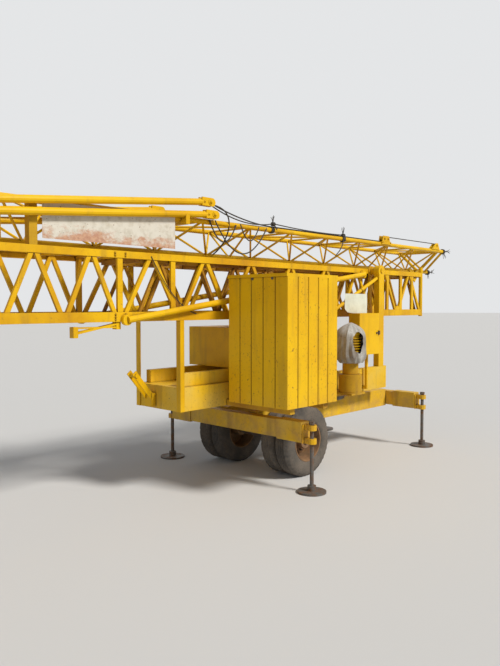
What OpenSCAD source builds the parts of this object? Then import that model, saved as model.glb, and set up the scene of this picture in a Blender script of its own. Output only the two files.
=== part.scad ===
// Self-erecting tower crane, folded for the road: a telescoping lattice mast and a folded
// jib lie over a slewing platform on a two-wheel chassis with four screw jacks.
// Sizes are worked out along the crane from the wheel axle; each node is then moved so
// that the origin lies on the ground below the middle of the whole length.

/* [Chassis] */
// Radius of the tyres
wheel_r = 500; // [460:5:540]
// Width of one tyre
tyre_w = 240; // [200:5:260]
// Distance from the centre line to the outer face of the outer tyre
wheel_out = 900; // [880:5:940]
// Radius of the wheel rims where the tyre sits
rim_r = 285; // [260:5:300]
// Radius of the axle tube
axle_r = 60; // [50:1:70]
// Height of the underside of the chassis beams above the ground
chassis_z = 640; // [620:5:680]
// Height of the chassis beams
chassis_h = 290; // [260:5:300]
// Width of one chassis beam
chassis_beam_w = 160; // [120:5:180]
// Distance from the centre line to the outer face of a chassis beam
chassis_half_w = 380; // [350:5:390]
// Distance from the axle to the front cross beam's front face
front_beam_x = 660; // [650:5:760]
// Distance from the axle to the rear cross beam's front face
rear_beam_x = 2850; // [2600:10:3000]
// Width of a cross beam along the crane
cross_beam_w = 150; // [120:5:150]
// Height of a cross beam
cross_beam_h = 240; // [200:5:260]
// Distance from the centre line to the end of the front cross beam
front_beam_half = 1300; // [1200:10:1400]
// Distance from the centre line to the end of the rear cross beam
rear_beam_half = 950; // [900:10:1100]

/* [Jacks] */
// Radius of a jack screw
screw_r = 26; // [20:1:32]
// Radius of a jack's foot plate
foot_r = 190; // [150:5:190]
// Thickness of a jack's foot plate
foot_t = 25; // [15:1:40]
// Height of the top of a jack screw above the ground
screw_top = 930; // [900:5:940]
// Travel of a jack screw
jack_travel = 150; // [100:5:150]
// Distance from the end of a cross beam to its jack's axis
jack_reach = 110; // [90:5:120]

/* [Slewing platform] */
// Distance from the axle to the slewing axis
slew_x = 1150; // [1050:10:1200]
// Outer radius of the slewing ring
ring_r = 560; // [500:10:600]
// Radial width of the slewing ring
ring_w = 110; // [80:5:140]
// Radius of the turntable plate
turntable_r = 620; // [590:5:640]
// Thickness of the turntable plate
turntable_t = 30; // [20:1:32]
// Height of the underside of the turntable plate above the ground
turntable_z = 1000; // [980:5:1005]
// Distance from the axle to the front end of the deck
deck_front_x = 1970; // [1900:10:2100]
// Distance from the centre line to the deck's side
deck_half_w = 440; // [400:5:450]
// Height of the underside of the deck
deck_z = 1100; // [1080:5:1110]
// Height of the deck's side beams
deck_h = 300; // [260:5:320]
// Height of the rails on the deck
rail_h = 170; // [120:5:180]
// Set-back of the rails from the deck's side
rail_inset = 60; // [40:5:80]
// Distance from the axle to the rear end of the fork arms
fork_end_x = 2400; // [2350:10:2500]
// Distance from the centre line to a fork arm's inner face
fork_in = 560; // [550:5:580]
// Width of a fork arm
fork_w = 100; // [80:5:120]
// Height of a fork arm
fork_h = 370; // [320:5:380]

/* [Housings] */
// Length of the ribbed machine house along the crane
house_l = 990; // [900:10:1100]
// Width of the ribbed machine house
house_w = 990; // [900:10:990]
// Height of the ribbed machine house
house_h = 1630; // [1500:10:1700]
// Height of the underside of the machine house
house_z = 1180; // [1160:5:1200]
// Distance from the axle to the machine house's front face
house_front_x = 1300; // [1250:10:1400]
// Gap between the winch housing's side and the machine house
house_gap = 40; // [30:5:60]
// Number of panels on each face of the machine house
house_panels = 5; // [4:1:7]
// Depth of the groove between two panels
groove_d = 16; // [8:1:20]
// Width of the groove between two panels
groove_w = 22; // [14:1:30]
// Length of the winch housing under the mast
winch_l = 1500; // [1300:10:1600]
// Distance from the axle to the winch housing's front face
winch_front_x = 950; // [900:10:1000]
// Distance from the centre line to the winch housing's side
winch_half_w = 570; // [500:5:570]
// Height of the winch housing
winch_h = 550; // [480:5:580]

/* [Mast] */
// Distance from the axle to the mast's head end
mast_head_x = 6900; // [6500:50:7300]
// Distance from the axle to the place where the two mast sections join
mast_joint_x = 2850; // [2700:10:3000]
// Distance from the axle to the mast's foot end
mast_foot_x = 3960; // [3900:10:3960]
// Distance from the centre line to the mast's side
mast_half_w = 450; // [420:5:460]
// Height of the mast's underside above the ground
mast_z = 2240; // [2220:5:2260]
// Height of the mast's section
mast_h = 800; // [760:5:810]
// Leg length of the mast's corner angles
chord_leg = 110; // [90:5:120]
// Leg length of the mast's top corner angles
top_leg = 80; // [75:5:90]
// Thickness of the mast's corner angles
chord_t = 14; // [10:1:18]
// Width of the mast's lattice bars
lace_w = 50; // [40:1:60]
// Thickness of the mast's lattice bars
lace_t = 30; // [24:1:36]
// Number of lattice bays in the head section
head_bays = 6; // [4:1:8]
// Number of lattice bays in the foot section
foot_bays = 8; // [6:1:10]
// Radius of the long side struts
strut_r = 40; // [30:1:42]
// Distance from the axle to the mast's raising pivot
pivot_x = 2240; // [2235:5:2260]
// Height of the mast's raising pivot above the ground
pivot_z = 3000; // [2990:5:3010]
// Radius of the mast's pivot pins
pivot_pin_r = 35; // [25:1:40]

/* [Jib] */
// Distance from the centre line to the middle of an upper jib chord
jib_half_w = 420; // [400:5:425]
// Height of the middle of the upper jib chords above the ground
jib_top_z = 3490; // [3450:5:3520]
// Height of the middle of the lower jib chord above the ground
jib_low_z = 3100; // [3095:5:3120]
// Radius of the jib chords
jib_chord_r = 35; // [28:1:38]
// Radius of the jib's lattice rods
jib_rod_r = 15; // [12:1:18]
// Length of one jib bay
jib_bay = 880; // [860:5:880]
// Distance from the axle to the end of the lower jib chord
jib_low_end_x = 4300; // [4200:10:4320]
// Distance from the axle to the tip of the jib
jib_tip_x = 5050; // [5000:10:5200]
// Radius of the tie tubes that lie over the jib
tie_r = 42; // [36:1:44]
// Height of the name board
board_h = 385; // [300:5:390]
// Length of the name board
board_l = 1740; // [1500:10:1800]

/* [Fits] */
// Clearance round pins and between turning faces
pin_gap = 0.3; // [0.2:0.1:0.6]

/* [Hidden] */
x_mid = (jib_tip_x - mast_head_x) / 2;
yellow = "#f2b705";
dark_yellow = "#d99a05";
steel = "#4a4a48";
tyre_grey = "#6b665c";
round_fn = 48;

// Shifts a piece from the axle frame to the frame with its origin below mid-length
module place() {
    translate([-x_mid, 0, 0]) children();
}

// A block between two corners
module block(a, b) {
    translate(a) cube(b - a);
}

// A round bar between two points, with a chosen number of sides
module rod(p, q, r, sides = 8) {
    d = q - p;
    len = norm(d);
    translate(p)
        rotate([0, acos(d[2] / len), atan2(d[1], d[0])])
            cylinder(r = r, h = len, $fn = sides);
}

// A flat-sided bar between two points of a plane of constant Y, from y0 to y0 + t,
// that runs past both points by the given length
module lace(p, q, w, y0, t, past = 0) {
    d = [q[0] - p[0], q[1] - p[1]];
    translate([p[0], y0, p[1]])
        rotate([0, -atan2(d[1], d[0]), 0])
            translate([-past, 0, -w / 2])
                cube([norm(d) + 2 * past, t, w]);
}

// A cylinder along Y from y0 to y1
module y_cylinder(x, z, r, y0, y1, fn = round_fn) {
    translate([x, y0, z])
        rotate([-90, 0, 0])
            cylinder(r = r, h = y1 - y0, $fn = fn);
}

// A revolved profile about the line along Y through (x, z); points are [radius, y]
module y_revolve(x, z, points) {
    translate([x, 0, z])
        rotate([-90, 0, 0])
            rotate_extrude($fn = round_fn)
                polygon(points);
}

// Chassis

cross_beam_z = chassis_z + 20;
front_beam_back = -front_beam_x + cross_beam_w;
chassis_top = chassis_z + chassis_h;

module chassis_frame() {
    in = chassis_half_w - chassis_beam_w;
    tie_w = 140;
    color(yellow) place() union() {
        for (s = [-1, 1])
            block([front_beam_back, min(s * in, s * chassis_half_w), chassis_z],
                  [rear_beam_x, max(s * in, s * chassis_half_w), chassis_top]);
        for (x = [slew_x - ring_r, slew_x + ring_r - tie_w])
            block([x, -in, chassis_z + 40], [x + tie_w, in, chassis_top]);
    }
}

// A cross beam with an end plate and a collar that sheathes each end
module cross_beam(x0, half) {
    sleeve_l = 420;
    sleeve_t = 14;
    union() {
        block([x0, -half, cross_beam_z], [x0 + cross_beam_w, half, cross_beam_z + cross_beam_h]);
        for (s = [-1, 1])
            block([x0 - sleeve_t, s > 0 ? half - sleeve_l : -half, cross_beam_z - sleeve_t],
                  [x0 + cross_beam_w, s > 0 ? half : -half + sleeve_l,
                   cross_beam_z + cross_beam_h + sleeve_t]);
    }
}

module front_cross_beam() {
    color(yellow) place() cross_beam(-front_beam_x, front_beam_half);
}

module rear_cross_beam() {
    color(yellow) place() cross_beam(rear_beam_x, rear_beam_half);
}

// Jack places as [x, y, beam end y]
jack_front_x = -front_beam_x + cross_beam_w / 2;
jack_rear_x = rear_beam_x + cross_beam_w / 2;
jack_front_y = front_beam_half + jack_reach;
jack_rear_y = rear_beam_half + jack_reach;
collar_t = 70;
collar_r = 62;

// A bracket that holds a jack screw beside a beam's end, with an upper and a lower collar
module jack_bracket(x, y, end_y) {
    s = y > 0 ? 1 : -1;
    plate_t = 16;
    low_z = cross_beam_z - 25;
    top_z = cross_beam_z + cross_beam_h - collar_t - 20;
    difference() {
        union() {
            block([x - 75, min(end_y, end_y + s * plate_t), low_z],
                  [x + 75, max(end_y, end_y + s * plate_t), top_z + collar_t]);
            for (z = [low_z, top_z]) {
                translate([x, y, z]) cylinder(r = collar_r, h = collar_t, $fn = 12);
                block([x - 45, min(end_y, y), z], [x + 45, max(end_y, y), z + collar_t]);
            }
        }
        translate([x, y, low_z - 10])
            cylinder(r = screw_r + pin_gap, h = cross_beam_h + 100, $fn = round_fn);
    }
}

module jack_brackets() {
    color(yellow) place() {
        for (s = [-1, 1]) {
            jack_bracket(jack_front_x, s * jack_front_y, s * front_beam_half);
            jack_bracket(jack_rear_x, s * jack_rear_y, s * rear_beam_half);
        }
    }
}

// A screw with its foot plate, socket and turning head
module jack(x, y) {
    head_h = 40;
    socket_h = 70;
    color(steel) place() translate([x, y, 0]) union() {
        cylinder(r = foot_r, h = foot_t, $fn = round_fn);
        cylinder(r = screw_r + 30, h = foot_t + socket_h, $fn = round_fn);
        cylinder(r = screw_r, h = screw_top, $fn = round_fn);
        translate([0, 0, screw_top - head_h]) cylinder(r = screw_r + 14, h = head_h, $fn = 6);
    }
}

module near_front_jack() { jack(jack_front_x, -jack_front_y); }
module far_front_jack() { jack(jack_front_x, jack_front_y); }
module near_rear_jack() { jack(jack_rear_x, -jack_rear_y); }
module far_rear_jack() { jack(jack_rear_x, jack_rear_y); }

// Axle tube with its spring seats, and the stubs that carry the wheels
hub_in = wheel_out - 2 * tyre_w - 60;
stub_r = 42;
module axle() {
    seat_l = 160;
    color(steel) place() union() {
        y_cylinder(0, wheel_r, axle_r, -hub_in, hub_in);
        y_cylinder(0, wheel_r, stub_r, -wheel_out + 40, wheel_out - 40);
        for (s = [-1, 1]) {
            a = chassis_half_w - chassis_beam_w;
            block([-seat_l / 2, min(s * a, s * chassis_half_w), wheel_r],
                  [seat_l / 2, max(s * a, s * chassis_half_w), chassis_z]);
        }
    }
}

module ring_base() {
    color(steel) place() translate([slew_x, 0, chassis_top]) difference() {
        cylinder(r = ring_r, h = turntable_z - chassis_top - pin_gap, $fn = round_fn);
        translate([0, 0, -1])
            cylinder(r = ring_r - ring_w, h = turntable_z - chassis_top + 2, $fn = round_fn);
    }
}

// Wheels

dual_gap = 30;
// Profile of one tyre from y0 to y0 + tyre_w
function tyre_profile(y0) = [
    [rim_r, y0 + 20], [rim_r + 30, y0 + 4], [wheel_r - 120, y0], [wheel_r - 35, y0 + 12],
    [wheel_r - 6, y0 + 38], [wheel_r, y0 + 70], [wheel_r, y0 + tyre_w - 70],
    [wheel_r - 6, y0 + tyre_w - 38], [wheel_r - 35, y0 + tyre_w - 12],
    [wheel_r - 120, y0 + tyre_w], [rim_r + 30, y0 + tyre_w - 4], [rim_r, y0 + tyre_w - 20]
];

module tyre_pair(s) {
    color(tyre_grey) place()
        mirror([0, s < 0 ? 1 : 0, 0])
            for (y0 = [wheel_out - tyre_w, wheel_out - 2 * tyre_w - dual_gap])
                y_revolve(0, wheel_r, tyre_profile(y0));
}

// A pair of dished rims on one hub, bored for the axle stub
module rim_pair(s) {
    bore = stub_r + pin_gap;
    y_in = wheel_out - 2 * tyre_w - dual_gap + 20;
    y_out = wheel_out - 20;
    mid = (y_in + y_out) / 2;
    web = 12;
    color(dark_yellow) place()
        mirror([0, s < 0 ? 1 : 0, 0])
            y_revolve(0, wheel_r, [
                [bore, y_in + 20], [bore, y_out - 40], [bore + 60, y_out - 40],
                [bore + 75, mid + 60], [rim_r - 60, mid + 20], [rim_r - 30, y_out - 60],
                [rim_r - 18, y_out + 6], [rim_r, y_out + 6], [rim_r, y_in],
                [rim_r - 14, y_in], [rim_r - 14, mid - 20], [rim_r - 50, mid - web],
                [bore + 50, mid - web], [bore + 50, y_in + 20]
            ]);
}

module near_tyres() { tyre_pair(-1); }
module near_rims() { rim_pair(-1); }
module far_tyres() { tyre_pair(1); }
module far_rims() { rim_pair(1); }

// Slewing platform

turntable_top = turntable_z + turntable_t;
fork_front_x = slew_x - turntable_r;
deck_top = deck_z + deck_h;
rail_top = deck_top + rail_h;

module turntable() {
    color(dark_yellow) place() translate([slew_x, 0, turntable_z])
        cylinder(r = turntable_r, h = turntable_t, $fn = round_fn);
}

// A U of two arms and a cross beam, bearing on the turntable plate
module rear_fork() {
    cross_l = 170;
    out = fork_in + fork_w;
    color(yellow) place() union() {
        block([fork_front_x, -out, turntable_top], [fork_front_x + cross_l, out, turntable_top + fork_h]);
        for (s = [-1, 1])
            block([fork_front_x, min(s * fork_in, s * out), turntable_top],
                  [fork_end_x, max(s * fork_in, s * out), turntable_top + fork_h]);
    }
}

module front_deck() {
    beam_w = 70;
    plate_t = 12;
    rail_w = 90;
    rail_out = deck_half_w - rail_inset;
    color(yellow) place() union() {
        for (s = [-1, 1])
            block([-deck_front_x, s > 0 ? deck_half_w - beam_w : -deck_half_w, deck_z],
                  [fork_front_x, s > 0 ? deck_half_w : -deck_half_w + beam_w, deck_top]);
        for (x = [-deck_front_x, -deck_front_x + 900, fork_front_x - beam_w])
            block([x, -deck_half_w, deck_z], [x + beam_w, deck_half_w, deck_top]);
        block([-deck_front_x, -deck_half_w, deck_top - plate_t], [fork_front_x, deck_half_w, deck_top]);
        for (s = [-1, 1])
            block([-deck_front_x + 100, s > 0 ? rail_out - rail_w : -rail_out, deck_top],
                  [fork_front_x, s > 0 ? rail_out : -rail_out + rail_w, rail_top]);
    }
}

// Two angle posts that the mast's bottom angles rest on
module front_posts() {
    post = 65;
    t = 12;
    x0 = -deck_front_x - t;
    top = mast_z - pin_gap;
    color(yellow) place() {
        for (s = [-1, 1])
            mirror([0, s < 0 ? 1 : 0, 0]) union() {
                block([x0, deck_half_w - post, deck_z], [x0 + t, deck_half_w + t, top]);
                block([x0, deck_half_w, deck_z], [x0 + post, deck_half_w + t, top]);
            }
    }
}

// The tow bar's folded link, leaning on the front of the deck
module tow_bracket() {
    y0 = 60;
    plate_t = 16;
    foot = [-deck_front_x, deck_z + 60];
    top = [-deck_front_x - 330, deck_z + 480];
    color(yellow) place() union() {
        for (y = [y0, y0 + 110])
            lace(foot + [-30, 60], top, 70, y, plate_t);
        block([-deck_front_x - 70, y0 - 10, deck_z + 30],
              [-deck_front_x, y0 + 136, deck_z + 200]);
        y_cylinder(top[0] + 30, top[1] - 40, 26, y0 - 14, y0 + 140, 12);
    }
}

module winch_housing() {
    color(dark_yellow) place()
        block([-winch_front_x, -winch_half_w, rail_top],
              [-winch_front_x + winch_l, winch_half_w, rail_top + winch_h]);
}

// Outline of the machine house with a groove between each two panels
function grooved_side(len, n) = [
    for (i = [1 : n - 1]) let (m = len * i / n)
        each [[m - groove_w / 2, 0], [m, groove_d], [m + groove_w / 2, 0]]
];

house_y1 = -winch_half_w - house_gap;
house_y0 = house_y1 - house_w;
roof_t = 40;
roof_lip = 12;

module house_outline() {
    n = house_panels;
    x0 = -house_front_x;
    x1 = x0 + house_l;
    near = [for (p = grooved_side(house_l, n)) [x0 + p[0], house_y0 + p[1]]];
    right = [for (p = grooved_side(house_w, n)) [x1 - p[1], house_y0 + p[0]]];
    far = [for (p = grooved_side(house_l, n)) [x1 - p[0], house_y1 - p[1]]];
    left = [for (p = grooved_side(house_w, n)) [x0 + p[1], house_y1 - p[0]]];
    polygon(concat([[x0, house_y0]], near, [[x1, house_y0]], right,
                   [[x1, house_y1]], far, [[x0, house_y1]], left));
}

module machine_house() {
    wall = 45;
    x0 = -house_front_x;
    color(yellow) place() difference() {
        translate([0, 0, house_z]) linear_extrude(house_h - roof_t) house_outline();
        block([x0 + wall, house_y0 + wall, house_z + wall],
              [x0 + house_l - wall, house_y1 - wall, house_z + house_h]);
    }
}

module house_roof() {
    z = house_z + house_h - roof_t;
    color(yellow) place()
        block([-house_front_x - roof_lip, house_y0, z],
              [-house_front_x + house_l + roof_lip, house_y1 + roof_lip, z + roof_t]);
}

// Two arms from the deck's side that carry the machine house
module house_arms() {
    arm_w = 90;
    arm_h = house_z - deck_z;
    inset = 120;
    color(dark_yellow) place() {
        for (x = [-house_front_x + inset, -house_front_x + house_l - inset - arm_w])
            block([x, house_y0 + 60, deck_z], [x + arm_w, -deck_half_w, deck_z + arm_h]);
    }
}

// A column with a pivot head, a long raking brace to the winch housing and a short one
fork_top = turntable_top + fork_h;
brace_r = 28;
brace_y = fork_in + fork_w / 2;
brace_top = [pivot_x - 40, 2890];
brace_low = [-150, 1850];
module derrick(s) {
    col_w = 150;
    y0 = fork_in;
    t = fork_w;
    head_r = 95;
    bore = pivot_pin_r + pin_gap;
    color(yellow) place() mirror([0, s < 0 ? 1 : 0, 0]) difference() {
        union() {
            block([pivot_x - col_w / 2, y0, fork_top], [pivot_x + col_w / 2, y0 + t, pivot_z]);
            y_cylinder(pivot_x, pivot_z, head_r, y0, y0 + t);
            rod([brace_top[0], brace_y, brace_top[1]], [brace_low[0], brace_y, brace_low[1]],
                brace_r, 12);
            block([brace_low[0] - 60, winch_half_w, brace_low[1] - 60],
                  [brace_low[0] + 40, brace_y + brace_r, brace_low[1] + 60]);
            rod([pivot_x - 30, brace_y, 2300], [slew_x + 250, brace_y, fork_top], brace_r, 12);
        }
        y_cylinder(pivot_x, pivot_z, bore, y0 - 1, y0 + t + 1);
        block([slew_x, y0 - 10, fork_top - 300], [fork_end_x, y0 + t + 10, fork_top]);
    }
}

module derricks() {
    for (s = [-1, 1]) derrick(s);
}

module control_cabinet() {
    cab_x = 1240;
    cab_l = 550;
    cab_d = 200;
    cab_z = 1650;
    cab_h = 650;
    leg = 40;
    y1 = -fork_in - fork_w - 40;
    color(yellow) place() union() {
        block([cab_x, y1 - cab_d, cab_z], [cab_x + cab_l, y1, cab_z + cab_h]);
        for (x = [cab_x + 60, cab_x + cab_l - 60 - leg])
            block([x, y1 - leg, turntable_top + 40], [x + leg, y1, cab_z]);
        for (x = [cab_x + 60, cab_x + cab_l - 60 - leg])
            block([x, y1 - leg, turntable_top + 40], [x + leg, -fork_in - fork_w, turntable_top + 90]);
    }
}

// Slewing gear: a bracket on the fork, a gearbox and an upright motor
drive_x = 930;
drive_y = -fork_in - fork_w - 290;
drive_top = 2170;
drive_z = turntable_top + 60;
module slew_drive() {
    plate_t = 30;
    cap_h = 480;
    color(steel) place() union() {
        block([drive_x - 180, drive_y - 150, drive_z], [drive_x + 180, -fork_in - fork_w, drive_z + plate_t]);
        translate([drive_x, drive_y, drive_z]) cylinder(r = 170, h = 300, $fn = round_fn);
        translate([drive_x, drive_y, drive_z]) cylinder(r = 120, h = cap_h, $fn = round_fn);
    }
}

// The sheeted motor above the gearbox
module drive_cover() {
    z0 = drive_z + 480;
    neck_h = 130;
    color("#b8b4a8") place() translate([drive_x, drive_y, z0]) union() {
        cylinder(r = 270, h = drive_top - z0 - neck_h, $fn = 12);
        translate([0, 0, drive_top - z0 - neck_h]) cylinder(r = 190, h = neck_h, $fn = 12);
    }
}

// A sheet hung on the near brace
module notice_sheet() {
    y = -brace_y - brace_r;
    color("#e8ecd8") place()
        block([1210, y - 3, 2300], [1830, y, 2610]);
}

// Mast

mast_top = mast_z + mast_h;
web_y = mast_half_w - chord_t - lace_t;
web_z0 = mast_z + chord_t;
web_z1 = mast_top - chord_t;

// A corner angle along the mast; up is 1 for a bottom corner and -1 for a top one
module corner_angle(x0, x1, z, up, leg) {
    translate([x0, -mast_half_w, z])
        mirror([0, 0, up < 0 ? 1 : 0]) union() {
            cube([x1 - x0, leg, chord_t]);
            cube([x1 - x0, chord_t, leg]);
        }
}

// Zigzag of lattice bars between two heights, n bays from x0 to x1
module zigzag(x0, x1, n, z0, z1, w, y0, t) {
    bay = (x1 - x0) / n;
    for (i = [0 : n - 1]) {
        a = x0 + i * bay;
        lace([a, z0], [a + bay / 2, z1], w, y0, t, w);
        lace([a + bay / 2, z1], [a + bay, z0], w, y0, t, w);
    }
}

// One side of the mast: two corner angles, posts and two zigzags set into the angles
module mast_side() {
    set_in = 5;
    y0 = -mast_half_w + chord_t - set_in;
    y1 = -web_y;
    z0 = web_z0 - set_in;
    z1 = web_z1 + set_in;
    n0 = web_z0 - 7;
    n1 = web_z1 + 7;
    post_w = 70;
    posts = [-mast_joint_x, -mast_joint_x + 770, pivot_x, pivot_x + 550, pivot_x + 1000,
             pivot_x + 1400];
    union() {
        corner_angle(-mast_head_x, mast_foot_x, mast_z, 1, chord_leg);
        corner_angle(-mast_head_x, mast_foot_x, mast_top, -1, top_leg);
        intersection() {
            union() {
                zigzag(-mast_head_x, -mast_joint_x - 30, head_bays, n0, n1, lace_w, y0, y1 - y0);
                zigzag(-mast_joint_x + 30, mast_foot_x, foot_bays, n0, n1, lace_w, y0, y1 - y0);
            }
            block([-mast_head_x + 1, y0 - 1, z0], [mast_foot_x - 1, y1 + 1, z1]);
        }
        for (x = posts)
            block([x - post_w / 2, y0 - 2, z0 - 1], [x + post_w / 2, y1 - 3, z1 + 1]);
        y_cylinder(pivot_x, pivot_z, 90, -mast_half_w - 14, -mast_half_w + chord_t - 5);
        y_cylinder(pivot_x, pivot_z, 60, -fork_in + 5, -mast_half_w - 9);
        y_cylinder(pivot_x, pivot_z, pivot_pin_r, -fork_in - fork_w - 15, -mast_half_w - 9);
    }
}

module mast_near_side() {
    color(yellow) place() mast_side();
}

module mast_far_side() {
    color(yellow) place() mirror([0, 1, 0]) mast_side();
}

// Flat zigzag between the two sides, at height z
module mast_flat_web(z) {
    n = head_bays + foot_bays;
    node_y = web_y + 7;
    intersection() {
        translate([0, 0, z + lace_t])
            rotate([-90, 0, 0])
                zigzag(-mast_head_x, mast_foot_x, n, -node_y, node_y, lace_w, 0, lace_t);
        block([-mast_head_x, -web_y, z], [mast_foot_x, web_y, z + lace_t]);
    }
    for (x = [-mast_head_x, -mast_joint_x - lace_w, mast_foot_x - lace_w])
        block([x, -web_y, z], [x + lace_w, web_y, z + lace_t]);
}

module mast_top_web() {
    color(yellow) place() union() mast_flat_web(web_z1 - lace_t);
}

module mast_bottom_web() {
    color(yellow) place() union() mast_flat_web(web_z0);
}

// The inner mast section, nested in the foot section
module inner_mast() {
    half = web_y - 12;
    z0 = web_z0 + lace_t;
    z1 = web_z1 - lace_t - 8;
    bar = 60;
    x0 = -mast_joint_x + 300;
    x1 = mast_foot_x - 80;
    n = 10;
    bay = (x1 - x0) / n;
    color(dark_yellow) place() union() {
        for (s = [-1, 1]) {
            y_out = s > 0 ? half - bar : -half;
            for (z = [z0, z1 - bar])
                block([x0, y_out, z], [x1, y_out + bar, z + bar]);
            intersection() {
                zigzag(x0, x1, n, z0 + bar / 2, z1 - bar / 2, 36, y_out + 12, 36);
                block([x0, y_out, z0], [x1, y_out + bar, z1]);
            }
        }
        for (i = [0 : n])
            for (z = [z0, z1 - bar])
                block([x0 + i * (bay - bar / n), -half, z], [x0 + i * (bay - bar / n) + bar, half, z + bar]);
    }
}

// Pin lugs on a plate at the mast's head, where the jib is hinged
hinge_x = -mast_head_x + 150;
hinge_z = mast_top + 160;
hinge_r = 30;
lug_in = 290;
lug_t = 50;
ear_in = lug_in + lug_t + 5;
ear_t = 50;
module mast_head() {
    lug_r = 80;
    plate_t = 14;
    color(yellow) place() union() {
        block([-mast_head_x, -mast_half_w, mast_top], [hinge_x + 150, mast_half_w, mast_top + plate_t]);
        for (s = [-1, 1]) {
            y0 = s > 0 ? lug_in : -lug_in - lug_t;
            block([hinge_x - lug_r, y0, mast_top], [hinge_x + lug_r, y0 + lug_t, hinge_z]);
            y_cylinder(hinge_x, hinge_z, lug_r, y0, y0 + lug_t);
        }
        y_cylinder(hinge_x, hinge_z, hinge_r, -ear_in - ear_t - 20, ear_in + ear_t + 20);
    }
}

// Round end posts at the mast's foot with two cross bars
module mast_foot() {
    post_r = 36;
    x = mast_foot_x + post_r;
    y = mast_half_w - post_r;
    color(yellow) place() difference() {
        union() {
            for (s = [-1, 1])
                translate([x, s * y, mast_z - 20]) cylinder(r = post_r, h = mast_h + 120, $fn = 12);
            for (z = [mast_z + 30, mast_top - 90])
                block([mast_foot_x, -y, z], [x + 20, y, z + 60]);
        }
        block([0, -y - 50, 0], [mast_foot_x, y + 50, 2 * mast_top]);
    }
}

// Posts on the mast's top angles that carry the jib's upper chords
module jib_rest() {
    x0 = -3940;
    w = 90;
    color(dark_yellow) place() {
        for (s = [-1, 1])
            difference() {
                block([x0, s > 0 ? mast_half_w - w : -mast_half_w, mast_top],
                      [x0 + w, s > 0 ? mast_half_w : -mast_half_w + w, jib_top_z]);
                rod([x0 - 50, s * jib_half_w, jib_top_z], [x0 + w + 50, s * jib_half_w, jib_top_z],
                    jib_chord_r + pin_gap, 12);
            }
    }
}

// A long round strut from the mast's joint to its raising pivot
module strut(s) {
    y = mast_half_w + 10 + strut_r;
    p = [-mast_joint_x + 60, y, mast_z + 20];
    q = [pivot_x - 270, y, pivot_z - 60];
    eye_t = strut_r + 10;
    color(yellow) place() mirror([0, s < 0 ? 1 : 0, 0]) union() {
        rod(p, q, strut_r, 12);
        y_cylinder(p[0], p[2], 62, mast_half_w, y);
        y_cylinder(q[0], q[2], 62, mast_half_w, y);
    }
}

module side_struts() {
    for (s = [-1, 1]) strut(s);
}

// A light link that hangs under the mast
module hanging_link() {
    y = -mast_half_w + 20;
    p = [-mast_joint_x - 20, mast_z - 20];
    q = [-mast_joint_x - 560, mast_z - 120];
    color(yellow) place() union() {
        for (dy = [0, 60]) {
            lace(p, q, 22, y + dy, 14);
            lace(p + [0, -40], q + [0, 60], 16, y + dy, 14);
        }
        block([q[0] - 34, y - 2, q[1] - 46], [q[0] + 24, y + 76, q[1] + 74]);
        block([p[0] - 30, y - 2, p[1] - 65], [p[0] + 30, y + 76, mast_z]);
    }
}

// Jib

jib_nodes = 12;
jib_last_x = 4580;
jib_first_x = jib_last_x - jib_nodes * jib_bay;
jib_start = jib_first_x - 20;
jib_low_start = hinge_x + 190;
jib_top_end = jib_tip_x - 170;

module upper_chord(s, r = jib_chord_r) {
    rod([jib_start, s * jib_half_w, jib_top_z], [jib_top_end, s * jib_half_w, jib_top_z], r, 12);
}

module lower_chord(r = jib_chord_r) {
    rod([jib_low_start, 0, jib_low_z], [jib_low_end_x, 0, jib_low_z], r, 12);
}

// One sloping side: its upper chord and the rods down to the lower chord
module jib_side(s) {
    top = [0, s * jib_half_w, jib_top_z];
    low = [0, 0, jib_low_z];
    posts = [2, 6, 10, 11];
    difference() {
        union() {
            upper_chord(s);
            for (i = [0 : jib_nodes - 1]) {
                a = jib_first_x + i * jib_bay;
                rod(top + [a, 0, 0], low + [a + jib_bay / 2, 0, 0], jib_rod_r, 6);
                rod(low + [a + jib_bay / 2, 0, 0], top + [a + jib_bay, 0, 0], jib_rod_r, 6);
            }
            for (i = posts) {
                a = jib_first_x + i * jib_bay;
                rod(top + [a, 0, 0], low + [a, 0, 0], jib_rod_r, 6);
            }
        }
        lower_chord();
        block([jib_start, s > 0 ? -60 : 0, jib_low_z - 60], [jib_tip_x, s > 0 ? 0 : 60, jib_low_z + 60]);
    }
}

module jib_near_side() {
    color(yellow) place() jib_side(-1);
}

module jib_far_side() {
    color(yellow) place() jib_side(1);
}

module jib_low_chord() {
    color(yellow) place() lower_chord();
}

// Cross bars and diagonals between the upper chords
module jib_top_web() {
    y = jib_half_w;
    color(yellow) place() difference() {
        union() {
            for (i = [0 : jib_nodes]) {
                a = jib_first_x + i * jib_bay;
                rod([a, -y, jib_top_z], [a, y, jib_top_z], jib_rod_r, 6);
            }
            for (i = [0 : jib_nodes - 1]) {
                a = jib_first_x + i * jib_bay;
                s = i % 2 == 0 ? 1 : -1;
                rod([a, -s * y, jib_top_z], [a + jib_bay, s * y, jib_top_z], jib_rod_r, 6);
            }
        }
        for (s = [-1, 1]) jib_side(s);
    }
}

// The jib's root: two ears on the hinge pin, a cross tube, tapering tubes and a tie shaft
tie_pin = [hinge_x + 350, hinge_z - 50];
tie_pin_r = 25;
tie_y = jib_half_w + jib_chord_r + 8 + tie_r;
module tie_shaft(r = tie_pin_r) {
    y_cylinder(tie_pin[0], tie_pin[1], r, -tie_y - tie_r - 15, tie_y + tie_r + 15);
}

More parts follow.
